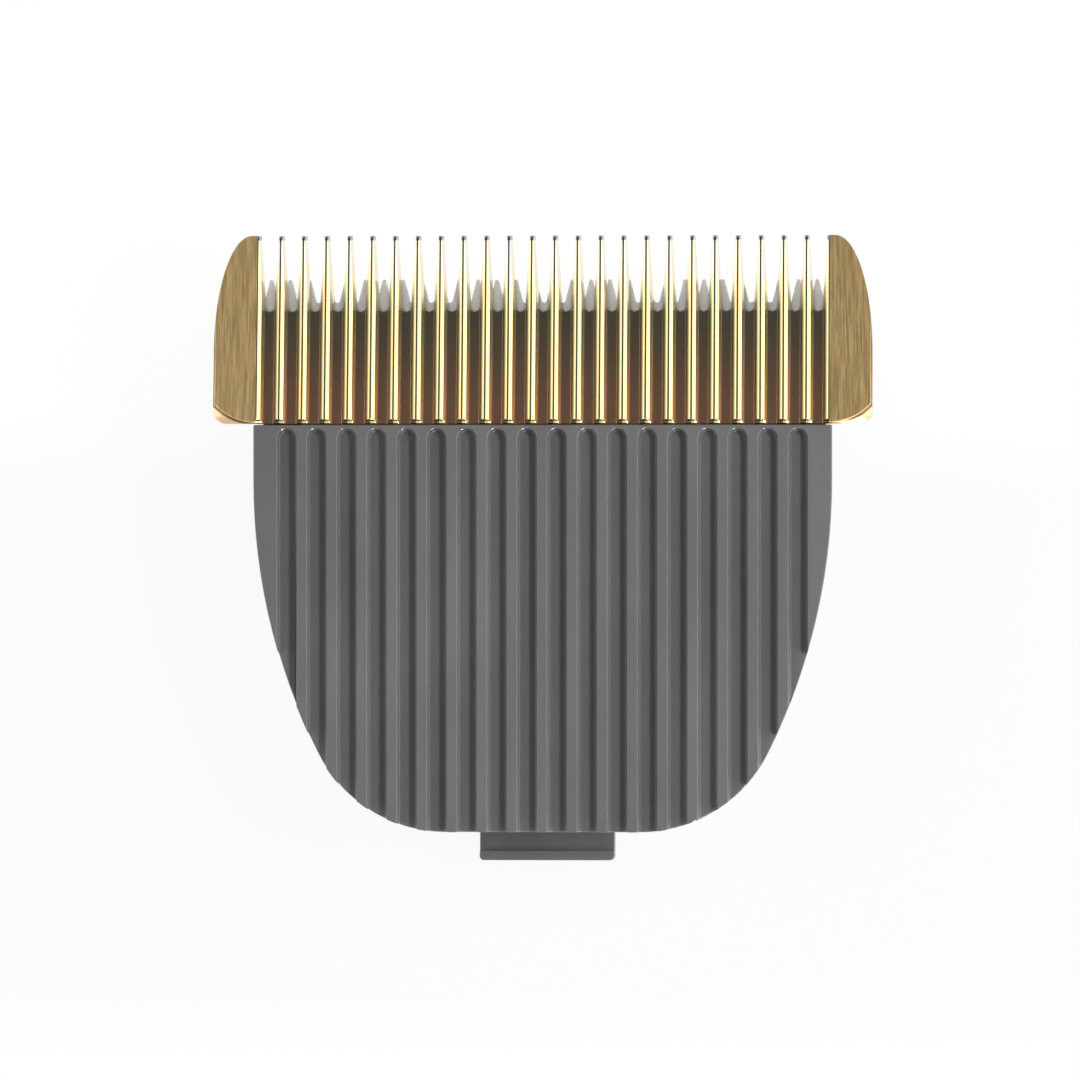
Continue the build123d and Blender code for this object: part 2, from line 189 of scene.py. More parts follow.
class BladeSizes(bpy.types.PropertyGroup):
    """Sizes of the finished edges and of the pieces that are modelled here."""

    holder_edge: length("Holder edge", "Radius on the edges of the moulded holder", 0.09 * MM)
    flute_edge: length("Flute end edge", "Radius at the round ends of the flutes", 0.17 * MM)
    flute_land: length("Flute land", "From the front edge to the flutes' ends", 0.28 * MM)
    flute_width: length("Flute width", "Width of a flute at the face", 1.33 * MM)
    comb_length: length("Comb length", "From the tooth tips to the seam with the holder", 13.17 * MM)
    tooth_pitch: length("Tooth pitch", "From one comb tooth to the next", 1.6 * MM)
    comb_edge: length("Comb edge", "Radius on the ground edges of the comb", 0.012 * MM)
    cutter_edge: length("Cutter edge", "Radius on the edges of the ceramic cutter", 0.035 * MM)
    carrier_edge: length("Carrier edge", "Radius on the edges of the drive carrier", 0.12 * MM)
    wire_diameter: length("Wire diameter", "Thickness of the spring wire", 0.8 * MM)
    wire_bend: length("Wire bend", "Radius of the spring's bends, at the wire's middle", 1.3 * MM)
    wire_end: length("Wire end", "Rounding at the ends of the spring wire", 0.18 * MM)
    foot_start: length("Foot start", "Distance of the spring's outer bends from the middle", 9.0 * MM)
    anchor_half: length("Anchor half", "Half length of the spring's middle run", 7.0 * MM)
    wire_sides: IntProperty(
        name="Wire sides", description="Faces round the spring wire", default=20, min=8, max=48
    )
    head_diameter: length("Head diameter", "Diameter of a clamp screw's head", 3.8 * MM)
    head_height: length("Head height", "Height of a clamp screw's head", 1.2 * MM)
    head_rounding: length("Head rounding", "Rounding of a clamp screw's head", 0.34 * MM)
    shank_diameter: length("Shank diameter", "Diameter of a clamp screw's shank", 2.0 * MM)
    shank_tip: length("Shank tip", "Rounding at the end of a clamp screw's shank", 0.25 * MM)
    screw_edge: length("Screw edge", "Radius on the other edges of a clamp screw", 0.05 * MM)
    recess_length: length("Recess length", "Span of the cross recess", 2.2 * MM)
    recess_width: length("Recess width", "Width of one arm of the cross recess", 0.5 * MM)
    recess_depth: length("Recess depth", "Depth of the cross recess", 0.6 * MM)


class BladeColours(bpy.types.PropertyGroup):
    """Colours of the finishes, some of which are painted shade, highlight or reflection."""

    polished_gold: tint("Polished gold", "Nitride coat on the polished ridges", (0.88, 0.73, 0.34))
    # Painted highlight: a paler gold on the ridges toward the tips
    pale_sheen_gold: tint("Pale sheen gold", "Painted highlight, paler toward the tips of the teeth", (0.92, 0.85, 0.66))
    # Groove floors: painted shade near the teeth and a painted orange reflection near the holder
    groove_shade_gold: tint("Groove shade", "Painted shade on the groove floors near the teeth", (0.46, 0.41, 0.28))
    groove_rear_reflection: tint("Groove rear reflection", "Painted orange reflection on the groove floors near the holder", (0.95, 0.54, 0.33))
    # Painted shade low on the left and right flanks of the ridges
    flank_shade: tint("Flank shade", "Painted shade low on the left flanks of the ridges", (0.15, 0.12, 0.07))
    groove_foot_shade: tint("Groove foot shade", "Painted brown shade low on the right flanks", (0.36, 0.21, 0.12))
    # Painted reflection: peach on the sides and corners of the cheeks
    edge_reflection_gold: tint("Edge reflection gold", "Painted peach reflection on the sides and corners of the cheeks", (0.84, 0.575, 0.345))
    # Painted shade: a dark line along the top edges of the cheeks
    edge_shade_line: tint("Edge shade line", "Painted dark line along the top edges of the cheeks", (0.22, 0.13, 0.06))
    # Painted shade: dark grey at the ends of the teeth
    tip_shade: tint("Tip shade", "Painted shade at the ends of the teeth", (0.30, 0.30, 0.28))
    brushed_gold: tint("Brushed gold", "Nitride coat on the brushed cheeks", (0.85, 0.61, 0.283))
    ceramic: tint("Ceramic", "White zirconia", (0.86, 0.865, 0.89))
    holder_grey: tint("Holder grey", "Grey moulded plastic", (0.205, 0.208, 0.204))
    carrier_black: tint("Carrier black", "Black moulded plastic", (0.018, 0.018, 0.019))
    spring_steel: tint("Spring steel", "Hard drawn wire", (0.50, 0.49, 0.47))
    zinc: tint("Zinc", "Bright zinc on the screws", (0.70, 0.71, 0.72))
    floor_white: tint("Floor white", "Plain pale floor", (0.92, 0.92, 0.92))


class StageSettings(bpy.types.PropertyGroup):
    """Camera and light."""

    frame_width: length("Frame width", "Width of the picture at the object", 75.4 * MM)
    distance: length("Distance", "From the camera to the object", 0.6)
    lean: FloatProperty(
        name="Lean", description="Tilt of the camera to the right", default=radians(3.2),
        subtype="ANGLE",
    )
    look_at: FloatVectorProperty(
        name="Look at", description="Point in the middle of the picture", size=3,
        default=(-0.20 * MM, 0.635 * MM, 9.0 * MM), subtype="TRANSLATION",
    )
    left_power: watts("Left light", "Power of the left light in watts", 1.2)
    right_power: watts("Right light", "Power of the right light in watts", 1.75)
    key_power: watts("Key light", "Power of the small right light in watts", 1.8)
    front_power: watts("Front light", "Power of the strip before the teeth in watts", 0.95)
    back_power: watts("Back light", "Power of the small light behind the tail in watts", 5.0)
    card_width: length("Card width", "Width of the dark band over the object", 0.54)
    card_shade: factor("Card shade", "How much light the dark band gives back", 0.10)
    world_light: factor("Room light", "Strength of the room's own light", 0.45)


def pick(piece):
    """Makes one object the only selected and active one."""
    bpy.ops.object.select_all(action="DESELECT")
    piece.hide_viewport = False
    bpy.context.view_layer.objects.active = piece
    piece.select_set(True)


def select_only(piece, kind, wanted):
    """Selects, in edit mode, only those polygons or edges of a piece that pass a test."""
    bpy.ops.mesh.select_all(action="DESELECT")
    bpy.ops.object.mode_set(mode="OBJECT")
    for part in getattr(piece.data, kind):
        part.select = wanted(part)
    bpy.ops.object.mode_set(mode="EDIT")


def refined_copy(node, name, edge, segments=2, weight=None, cuts=()):
    """A merged copy of a node with its sharp edges rounded, each by its own share if a weight is given.

    The cuts split long faces across Y, so that they shade evenly.
    """
    pick(frame["nodes"][node])
    bpy.ops.object.duplicate()
    piece = bpy.context.active_object
    piece.name = name
    piece.data.name = name
    piece.parent = None
    del piece["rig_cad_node"]
    del piece["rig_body"]
    piece.data.materials.clear()
    bpy.ops.object.mode_set(mode="EDIT")
    bpy.ops.mesh.customdata_custom_splitnormals_clear()
    bpy.ops.mesh.select_all(action="SELECT")
    bpy.ops.mesh.remove_doubles(threshold=MERGE_DISTANCE)
    bpy.ops.mesh.dissolve_limited(angle_limit=FLAT_ANGLE)
    bpy.ops.mesh.select_mode(type="EDGE")
    bpy.ops.mesh.select_all(action="DESELECT")
    bpy.ops.mesh.edges_select_sharp(sharpness=SHARP_ANGLE)
    bpy.ops.object.mode_set(mode="OBJECT")
    if weight:
        shares = piece.data.attributes.new("bevel_weight_edge", "FLOAT", "EDGE")
        points = piece.data.vertices
        for line in piece.data.edges:
            if line.select:
                shares.data[line.index].value = weight(*[points[i].co for i in line.vertices])
    rounding = piece.modifiers.new("edges", "BEVEL")
    rounding.width = edge
    rounding.segments = segments
    rounding.limit_method = "WEIGHT" if weight else "ANGLE"
    rounding.angle_limit = SHARP_ANGLE
    rounding.use_clamp_overlap = False
    rounding.miter_outer = "MITER_ARC"
    bpy.ops.object.modifier_apply(modifier=rounding.name)
    bpy.ops.object.mode_set(mode="EDIT")
    for cut_y in cuts:
        bpy.ops.mesh.select_all(action="SELECT")
        bpy.ops.mesh.bisect(plane_co=(0.0, cut_y, 0.0), plane_no=(0.0, 1.0, 0.0))
    bpy.ops.object.mode_set(mode="OBJECT")
    even_shading(piece)
    return piece


def even_shading(piece):
    """Smooth shading that keeps the flat faces flat."""
    pick(piece)
    bpy.ops.object.shade_smooth_by_angle(angle=SMOOTH_ANGLE)
    weighted = piece.modifiers.new("shading", "WEIGHTED_NORMAL")
    weighted.keep_sharp = True
    bpy.ops.object.modifier_apply(modifier=weighted.name)


def finished(piece, body, material, slot, *nodes):
    """Gives a piece its finish and body, and lets it stand for its nodes."""
    piece.data.materials.clear()
    piece.data.materials.append(material)
    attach(piece, body)
    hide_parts(*nodes)


def add_node(tree, kind, **settings):
    """Adds a node with its settings."""
    node = tree.nodes.new(kind)
    for key, value in settings.items():
        setattr(node, key, value)
    return node


def feed(tree, socket, value):
    """Links an output to a socket, or sets the socket's own value."""
    if isinstance(value, bpy.types.NodeSocket):
        tree.links.new(value, socket)
    else:
        socket.default_value = value


def calc(tree, operation, first, second=0.0, third=0.0):
    """One Math node's output."""
    node = add_node(tree, "ShaderNodeMath", operation=operation)
    for socket, value in zip(node.inputs, (first, second, third)):
        feed(tree, socket, value)
    return node.outputs[0]


def between(tree, share, start, end):
    """A value that goes from start to end with a share from zero to one."""
    return calc(tree, "MULTIPLY_ADD", share, end - start, start)


def ramp(tree, value, low, high, to_low=0.0, to_high=1.0):
    """A smooth step of a value between two limits."""
    node = add_node(tree, "ShaderNodeMapRange", interpolation_type="SMOOTHSTEP")
    ends = (("From Min", low), ("From Max", high), ("To Min", to_low), ("To Max", to_high))
    for name, fed in (("Value", value), *ends):
        feed(tree, node.inputs[name], fed)
    return node.outputs["Result"]


def fall(tree, value, low, high):
    """A smooth step down from one to zero between two limits."""
    return ramp(tree, value, low, high, 1.0, 0.0)


def blend(tree, share, first, second):
    """A mix of two colours."""
    node = add_node(tree, "ShaderNodeMix", data_type="RGBA")
    feed(tree, node.inputs["Factor"], share)
    for socket, value in ((node.inputs[6], first), (node.inputs[7], second)):
        if isinstance(value, bpy.types.NodeSocket):
            tree.links.new(value, socket)
        else:
            socket.default_value = (*value[:3], 1.0)
    return node.outputs[2]


def toned(tree, share, colour, dark, light=1.0):
    """A colour that goes from a darker to a lighter tone of itself."""
    tones = [[min(1.0, tone * part) for part in colour] for tone in (dark, light)]
    return blend(tree, share, *tones)


def mix_value(tree, share, first, second):
    """A value between two others."""
    node = add_node(tree, "ShaderNodeMix", data_type="FLOAT")
    for index, value in ((0, share), (2, first), (3, second)):
        tree.links.new(value, node.inputs[index])
    return node.outputs[0]


def noise(tree, vector, scale, detail, roughness):
    """A noise texture's value."""
    node = add_node(tree, "ShaderNodeTexNoise")
    tree.links.new(vector, node.inputs["Vector"])
    feed(tree, node.inputs["Scale"], scale)
    node.inputs["Detail"].default_value = detail
    node.inputs["Roughness"].default_value = roughness
    return node.outputs[0]


def object_mm(tree, stretch=(1.0, 1.0, 1.0)):
    """Object coordinates in millimetres."""
    coords = add_node(tree, "ShaderNodeTexCoord")
    mapping = add_node(tree, "ShaderNodeMapping")
    mapping.inputs["Scale"].default_value = [part / MM for part in stretch]
    tree.links.new(coords.outputs["Object"], mapping.inputs["Vector"])
    return mapping.outputs["Vector"]


def axes(tree, vector):
    """The three parts of a vector."""
    node = add_node(tree, "ShaderNodeSeparateXYZ")
    tree.links.new(vector, node.inputs[0])
    return node.outputs


def bump(tree, height, strength, distance):
    """A bump's normal."""
    node = add_node(tree, "ShaderNodeBump")
    feed(tree, node.inputs["Height"], height)
    feed(tree, node.inputs["Strength"], strength)
    node.inputs["Distance"].default_value = distance
    return node.outputs["Normal"]


def new_group(name, inputs, outputs):
    """An empty node group with float sockets."""
    group = bpy.data.node_groups.new(name, "ShaderNodeTree")
    for label, default in inputs:
        socket = group.interface.new_socket(label, in_out="INPUT", socket_type="NodeSocketFloat")
        socket.default_value = default
    for label in outputs:
        group.interface.new_socket(label, in_out="OUTPUT", socket_type="NodeSocketFloat")
    return group, add_node(group, "NodeGroupInput"), add_node(group, "NodeGroupOutput")


def drawn_lines():
    """Group of fine lines left by brushing, grinding or drawing, along the piece's Y."""
    name = "drawn_lines"
    if name in bpy.data.node_groups:
        return bpy.data.node_groups[name]
    tree, given, made = new_group(
        name, (("Across", 14.0), ("Along", 0.35), ("Broad", 2.2)), ("Fine", "Bands", "Height")
    )
    place = axes(tree, object_mm(tree))
    fine_at = add_node(tree, "ShaderNodeCombineXYZ")
    band_at = add_node(tree, "ShaderNodeCombineXYZ")
    for node, across in ((fine_at, "Across"), (band_at, "Broad")):
        tree.links.new(calc(tree, "MULTIPLY", place["X"], given.outputs[across]), node.inputs["X"])
        tree.links.new(calc(tree, "MULTIPLY", place["Y"], given.outputs["Along"]), node.inputs["Y"])
        tree.links.new(place["Z"], node.inputs["Z"])
    fine = noise(tree, fine_at.outputs[0], scale=1.0, detail=4.0, roughness=0.6)
    bands = noise(tree, band_at.outputs[0], scale=1.0, detail=3.0, roughness=0.6)
    band_height = 0.5
    tree.links.new(fine, made.inputs["Fine"])
    tree.links.new(bands, made.inputs["Bands"])
    tree.links.new(calc(tree, "MULTIPLY_ADD", bands, band_height, fine), made.inputs["Height"])
    return tree


def moulded_skin():
    """Group of the fine grain, flow marks and dust specks on a moulding."""
    name = "moulded_skin"
    if name in bpy.data.node_groups:
        return bpy.data.node_groups[name]
    tree, given, made = new_group(
        name, (("Grain", 9.0), ("Flow", 0.16), ("Specks", 1.1)), ("Grain", "Flow", "Specks", "Height")
    )
    place = object_mm(tree)
    flow_place = object_mm(tree, stretch=(1.0, 0.35, 1.0))
    grain = noise(tree, place, given.outputs["Grain"], detail=3.0, roughness=0.6)
    flow = noise(tree, flow_place, given.outputs["Flow"], detail=3.0, roughness=0.55)
    cells = add_node(tree, "ShaderNodeTexVoronoi", feature="F1")
    tree.links.new(place, cells.inputs["Vector"])
    tree.links.new(given.outputs["Specks"], cells.inputs["Scale"])
    rarity = 0.93
    rare = calc(tree, "GREATER_THAN", axes(tree, cells.outputs["Color"])["X"], rarity)
    round_speck = fall(tree, cells.outputs["Distance"], low=0.03, high=0.09)
    specks = calc(tree, "MULTIPLY", round_speck, rare)
    speck_height = 0.5
    tree.links.new(grain, made.inputs["Grain"])
    tree.links.new(flow, made.inputs["Flow"])
    tree.links.new(specks, made.inputs["Specks"])
    tree.links.new(calc(tree, "MULTIPLY_ADD", specks, speck_height, grain), made.inputs["Height"])
    return tree


def place_group(tree, group, **values):
    """Places a node group with its own values."""
    node = add_node(tree, "ShaderNodeGroup", node_tree=group)
    for key, value in values.items():
        node.inputs[key].default_value = value
    return node.outputs


def new_material(name):
    """A material with one Principled shader."""
    material = bpy.data.materials.new(name)
    material.use_nodes = True
    tree = material.node_tree
    tree.nodes.clear()
    shader = add_node(tree, "ShaderNodeBsdfPrincipled")
    output = add_node(tree, "ShaderNodeOutputMaterial")
    tree.links.new(shader.outputs[0], output.inputs["Surface"])
    return material, tree, shader.inputs


def gold_finish(colours, comb_length, tooth_pitch):
    """Nitride coat: brushed cheeks and polished ridges, with the grooves and the ends of the teeth
    darkened by painted shade.

    Painted shade climbs higher on the left flank of each ridge than on the right one.
    """
    material, tree, shader = new_material("gold_coat")
    crest_z = (comb_high.z + CREST_CUT) / MM
    base_z = comb_low.z / MM
    tip_y = comb_high.y / MM
    seam_y = tip_y - comb_length / MM
    place = axes(tree, object_mm(tree))

    def behind_tips(limits):
        return [tip_y - limit for limit in limits]

    # Height over the plane of the crests, and the distance from the middle
    rise = calc(tree, "MULTIPLY", calc(tree, "SUBTRACT", place["Z"], crest_z), cos(CREST_SLOPE))
    run = calc(tree, "SUBTRACT", place["Y"], seam_y)
    above = calc(tree, "MULTIPLY_ADD", run, sin(CREST_SLOPE), rise)
    aside = calc(tree, "ABSOLUTE", place["X"])

    # Masks of the cheeks
    cheek = ramp(tree, aside, *CHEEK_START)
    on_face = calc(tree, "MULTIPLY", ramp(tree, above, *BRUSHED_LEVEL), cheek)
    # The cheeks' sides, which carry a painted peach reflection
    side_limits = [base_z + limit for limit in CHEEK_SIDE_START]
    side = calc(tree, "MULTIPLY", ramp(tree, place["Z"], *side_limits), cheek)
    # Painted dark line along the top edges of the cheeks' sides
    line = ramp(tree, above, *EDGE_SHADE_LEVEL)

    # Masks of the ridges, the grooves between them and the teeth
    tooth = fall(tree, aside, *CHEEK_START)
    # Painted shade at the ends of the teeth
    tip_shade_mask = calc(tree, "MULTIPLY", ramp(tree, place["Y"], *behind_tips(TIP_SHADE_START)), tooth)
    phase = calc(tree, "FRACT", calc(tree, "DIVIDE", place["X"], tooth_pitch / MM))
    right_flank = ramp(tree, phase, *CREST_PHASE)
    # Painted shade low on the flanks: higher on the left flank than on the right, fading out toward the
    # tips
    left_start = fall(tree, place["Y"], *behind_tips(LEFT_SHADE_START))
    right_start = fall(tree, place["Y"], *behind_tips(RIGHT_SHADE_START))
    low_left_shade = calc(tree, "MULTIPLY", fall(tree, above, *LEFT_SHADE_LEVEL), left_start)
    low_right_shade = calc(tree, "MULTIPLY", fall(tree, above, *RIGHT_SHADE_LEVEL), right_start)
    low_flank_shade = mix_value(tree, right_flank, low_left_shade, low_right_shade)
    on_floor = fall(tree, above, *FLOOR_LEVEL)

    # Colours
    lines = place_group(tree, drawn_lines(), Across=15.0, Along=0.30, Broad=4.2)
    band_share = 0.5
    fine_share = 0.7
    fine = calc(tree, "MULTIPLY", lines["Fine"], fine_share)
    streak = calc(tree, "MULTIPLY_ADD", lines["Bands"], band_share, fine)
    streaks = ramp(tree, streak, low=0.44, high=0.78)
    brushed = toned(tree, streaks, colours.brushed_gold, dark=0.62, light=1.05)
    # Painted highlight: the ridges turn paler toward the tips
    to_tip = ramp(tree, place["Y"], *behind_tips(PALE_SHEEN_START))
    ridge = blend(tree, to_tip, colours.polished_gold, colours.pale_sheen_gold)
    # Groove floors: a painted orange reflection by the holder, turning to painted shade toward the
    # teeth
    to_teeth = ramp(tree, place["Y"], seam_y, tip_y - GROOVE_SHADE_END)
    groove = blend(tree, to_teeth, colours.groove_rear_reflection, colours.groove_shade_gold)
    # Painted shade colours of the low left and right flanks
    flank = blend(tree, right_flank, colours.flank_shade, colours.groove_foot_shade)
    hollow = blend(tree, on_floor, flank, groove)
    # Painted shade on the low flanks and groove floors, and dark grey painted shade at the ends of the
    # teeth
    teeth = blend(tree, tip_shade_mask, blend(tree, low_flank_shade, ridge, hollow), colours.tip_shade)
    # Cheeks' sides: a painted peach reflection, with a painted dark line along their top edges
    edges = blend(tree, line, colours.edge_reflection_gold, colours.edge_shade_line)
    polished = blend(tree, side, teeth, edges)
    tree.links.new(blend(tree, on_face, polished, brushed), shader["Base Color"])

    # Gloss and relief
    shade_dulling = 0.12
    smooth = between(tree, lines["Bands"], start=0.10, end=0.16)
    # Where the flanks carry painted shade, and on the cheeks' sides, the gloss is a little duller
    shaded_or_side = calc(tree, "MAXIMUM", low_flank_shade, side)
    dulled = calc(tree, "MULTIPLY_ADD", shaded_or_side, shade_dulling, smooth)
    rough = between(tree, lines["Fine"], start=0.38, end=0.60)
    relief = between(tree, on_face, start=0.02, end=0.62)
    shader["Metallic"].default_value = 1.0
    tree.links.new(mix_value(tree, on_face, dulled, rough), shader["Roughness"])
    tree.links.new(bump(tree, lines["Height"], relief, distance=0.03 * MM), shader["Normal"])
    return material


def ceramic_finish(colours):
    """White zirconia with grinding lines."""
    material, tree, shader = new_material("white_ceramic")
    lines = place_group(tree, drawn_lines(), Across=9.0, Along=0.5, Broad=1.2)
    bands = ramp(tree, lines["Bands"], low=0.35, high=0.70)
    shade = toned(tree, bands, colours.ceramic, dark=0.93)
    rough = between(tree, lines["Fine"], start=0.22, end=0.42)
    relief = bump(tree, lines["Height"], strength=0.10, distance=0.02 * MM)
    tree.links.new(shade, shader["Base Color"])
    tree.links.new(rough, shader["Roughness"])
    tree.links.new(relief, shader["Normal"])
    shader["Subsurface Weight"].default_value = 0.15
    shader["Subsurface Radius"].default_value = (0.5 * MM, 0.45 * MM, 0.4 * MM)
    shader["Subsurface Scale"].default_value = 1.0
    shader["IOR"].default_value = 2.1
    return material


def plastic_finish(name, colour, roughness, dust, face_z=None):
    """A moulded plastic with fine grain, soft flow marks and a few specks of dust.

    Where the level of a face is given, the edges just below it are rubbed smooth.
    """
    material, tree, shader = new_material(name)
    skin = place_group(tree, moulded_skin(), Grain=9.0, Flow=0.16, Specks=1.1)
    marks = ramp(tree, skin["Flow"], low=0.30, high=0.70)
    base = toned(tree, marks, colour, dark=0.90, light=1.08)
    dust_lift = 0.22
    pale = [min(1.0, part + dust_lift) for part in colour]
    dusty = blend(tree, calc(tree, "MULTIPLY", skin["Specks"], dust), base, pale)
    rough = between(tree, skin["Grain"], *roughness)
    if face_z:
        level = axes(tree, object_mm(tree))["Z"]
        low_end = ramp(tree, level, *[face_z - limit for limit in RUBBED_LOW])
        high_end = fall(tree, level, *[face_z - limit for limit in RUBBED_HIGH])
        rubbed = calc(tree, "MULTIPLY", low_end, high_end)
        rough = calc(tree, "MULTIPLY", rough, between(tree, rubbed, start=1.0, end=0.45))
    relief = bump(tree, skin["Height"], strength=0.18, distance=0.02 * MM)
    tree.links.new(dusty, shader["Base Color"])
    tree.links.new(rough, shader["Roughness"])
    tree.links.new(relief, shader["Normal"])
    shader["IOR"].default_value = 1.5
    return material


def wire_finish(colours):
    """Drawn spring wire."""
    material, tree, shader = new_material("drawn_wire")
    lines = place_group(tree, drawn_lines(), Across=6.0, Along=6.0, Broad=1.0)
    bands = ramp(tree, lines["Bands"], low=0.3, high=0.7)
    shade = toned(tree, bands, colours.spring_steel, dark=0.7)
    rough = between(tree, lines["Fine"], start=0.15, end=0.40)
    relief = bump(tree, lines["Height"], strength=0.10, distance=0.02 * MM)
    tree.links.new(shade, shader["Base Color"])
    tree.links.new(rough, shader["Roughness"])
    tree.links.new(relief, shader["Normal"])
    shader["Metallic"].default_value = 1.0
    return material


def zinc_finish(colours):
    """Zinc plated steel with a faint bloom."""
    material, tree, shader = new_material("bright_zinc")
    skin = place_group(tree, moulded_skin(), Grain=5.0, Flow=0.7, Specks=1.5)
    bloom = ramp(tree, skin["Flow"], low=0.3, high=0.7)
    shade = toned(tree, bloom, colours.zinc, dark=0.78)
    rough = between(tree, skin["Grain"], start=0.20, end=0.45)
    relief = bump(tree, skin["Height"], strength=0.12, distance=0.02 * MM)
    tree.links.new(shade, shader["Base Color"])
    tree.links.new(rough, shader["Roughness"])
    tree.links.new(relief, shader["Normal"])
    shader["Metallic"].default_value = 1.0
    return material


class CLIPPER_OT_holder(bpy.types.Operator):
    """Rounds the edges of the moulded holder and gives it a satin grey skin"""

    bl_idname = "clipper.holder"
    bl_label = "Fluted holder"

    def execute(self, context):
        sizes = context.scene.blade_sizes
        face_z = comb_high.z + CREST_CUT - COMB_PROUD
        arc_high = comb_high.y - sizes.comb_length - sizes.flute_land
        arc_low = arc_high - sizes.flute_width / 2
        plain = sizes.holder_edge / sizes.flute_edge
        level_slack = 0.01 * MM
        end_slack = 0.05 * MM
        grown_share = 0.7

        def share(first, second):
            """An edge's share of the full rounding, which grows along the flutes' round ends."""
            middle = (first + second) / 2
            on_arc = arc_low < middle.y < arc_high + end_slack
            if middle.z < face_z - level_slack or not on_arc:
                return plain
            grown = (middle.y - arc_low) / (grown_share * (arc_high - arc_low))
            return plain + (1.0 - plain) * min(1.0, grown)

        cuts = [arc_low - step * MM for step in FACE_CUTS]
        piece = refined_copy(
            "blade_holder", "fluted_holder", sizes.flute_edge, segments=3, weight=share, cuts=cuts
        )
        grey = plastic_finish(
            "holder_grey", context.scene.blade_colours.holder_grey,
            roughness=(0.24, 0.40), dust=0.35, face_z=face_z / MM,
        )
        finished(piece, "holder", grey, "holder_plastic", "blade_holder")
        return {"FINISHED"}


class CLIPPER_OT_comb(bpy.types.Operator):
    """Breaks the ground edges of the comb and gives it its gold coat"""

    bl_idname = "clipper.comb"
    bl_label = "Gold comb"

    def execute(self, context):
        sizes = context.scene.blade_sizes
        piece = refined_copy("comb_blade", "gold_comb", sizes.comb_edge)
        gold = gold_finish(context.scene.blade_colours, sizes.comb_length, sizes.tooth_pitch)
        finished(piece, "holder", gold, "coated_steel", "comb_blade")
        return {"FINISHED"}


class CLIPPER_OT_cutter(bpy.types.Operator):
    """Breaks the edges of the ceramic cutter and gives it a ground white finish"""

    bl_idname = "clipper.cutter"
    bl_label = "Ceramic cutter"

    def execute(self, context):
        sizes = context.scene.blade_sizes
        piece = refined_copy("cutter_blade", "ceramic_cutter", sizes.cutter_edge)
        white = ceramic_finish(context.scene.blade_colours)
        finished(piece, "cutter", white, "ceramic", "cutter_blade")
        return {"FINISHED"}


class CLIPPER_OT_carrier(bpy.types.Operator):
    """Rounds the edges of the drive carrier and gives it a black skin"""

    bl_idname = "clipper.carrier"
    bl_label = "Drive carrier"

    def execute(self, context):
        sizes = context.scene.blade_sizes
        piece = refined_copy("drive_carrier", "fork_carrier", sizes.carrier_edge)
        black = plastic_finish(
            "carrier_black", context.scene.blade_colours.carrier_black, roughness=(0.35, 0.55), dust=0.3
        )
        finished(piece, "cutter", black, "carrier_plastic", "drive_carrier")
        return {"FINISHED"}


class CLIPPER_OT_spring(bpy.types.Operator):
    """Models one half of the tension spring as a round wire, run by run, and mirrors it"""

    bl_idname = "clipper.spring"
    bl_label = "Wire spring"

    def execute(self, context):
        sizes = context.scene.blade_sizes
        radius = sizes.wire_diameter / 2
        level = (spring_low.z + spring_high.z) / 2
        anchor_y = spring_low.y + radius
        foot_y = spring_high.y - radius
        bpy.ops.object.select_all(action="DESELECT")
        bpy.ops.mesh.primitive_circle_add(
            vertices=sizes.wire_sides, radius=radius,
            location=(0.0, anchor_y, level), rotation=(0.0, pi / 2, 0.0),
        )
        piece = bpy.context.active_object
        piece.name = "wire_spring"
        piece.data.name = "wire_spring"
        bpy.ops.object.transform_apply(location=True, rotation=True, scale=True)
        rise = Vector((sizes.foot_start - sizes.anchor_half, foot_y - anchor_y, 0.0))
        turn = atan2(rise.y, rise.x)
        trim = sizes.wire_bend * tan(turn / 2)
        along = rise.normalized()
        first_end = Vector((sizes.anchor_half - trim, anchor_y, level))
        first_centre = first_end + Vector((0.0, sizes.wire_bend, 0.0))
        second_start = Vector((sizes.foot_start, foot_y, level)) - along * trim
        second_centre = second_start + Vector((along.y, -along.x, 0.0)) * sizes.wire_bend
        bpy.ops.object.mode_set(mode="EDIT")
        bpy.ops.mesh.select_all(action="SELECT")
        bpy.ops.mesh.extrude_region_move(TRANSFORM_OT_translate={"value": (first_end.x, 0.0, 0.0)})
        bpy.ops.mesh.spin(steps=10, angle=-turn, center=first_centre, axis=(0.0, 0.0, 1.0))
        run = along * (rise.length - 2 * trim)
        bpy.ops.mesh.extrude_region_move(TRANSFORM_OT_translate={"value": run})
        bpy.ops.mesh.spin(steps=10, angle=turn, center=second_centre, axis=(0.0, 0.0, 1.0))
        foot = spring_high.x - second_centre.x
        bpy.ops.mesh.extrude_region_move(TRANSFORM_OT_translate={"value": (foot, 0.0, 0.0)})
        bpy.ops.mesh.edge_face_add()
        bpy.ops.mesh.bevel(offset=sizes.wire_end, segments=3, affect="EDGES")
        bpy.ops.object.mode_set(mode="OBJECT")
        other_half = piece.modifiers.new("other_half", "MIRROR")
        other_half.use_axis = (True, False, False)
        other_half.use_clip = True
        other_half.merge_threshold = MERGE_DISTANCE
        bpy.ops.object.modifier_apply(modifier=other_half.name)
        bpy.ops.object.mode_set(mode="EDIT")
        bpy.ops.mesh.select_all(action="SELECT")
        bpy.ops.mesh.remove_doubles(threshold=MERGE_DISTANCE)
        bpy.ops.mesh.normals_make_consistent(inside=False)
        bpy.ops.object.mode_set(mode="OBJECT")
        bpy.ops.object.shade_smooth_by_angle(angle=radians(50.0))
        steel = wire_finish(context.scene.blade_colours)
        finished(piece, "holder", steel, "spring_steel", "tension_spring")
        return {"FINISHED"}


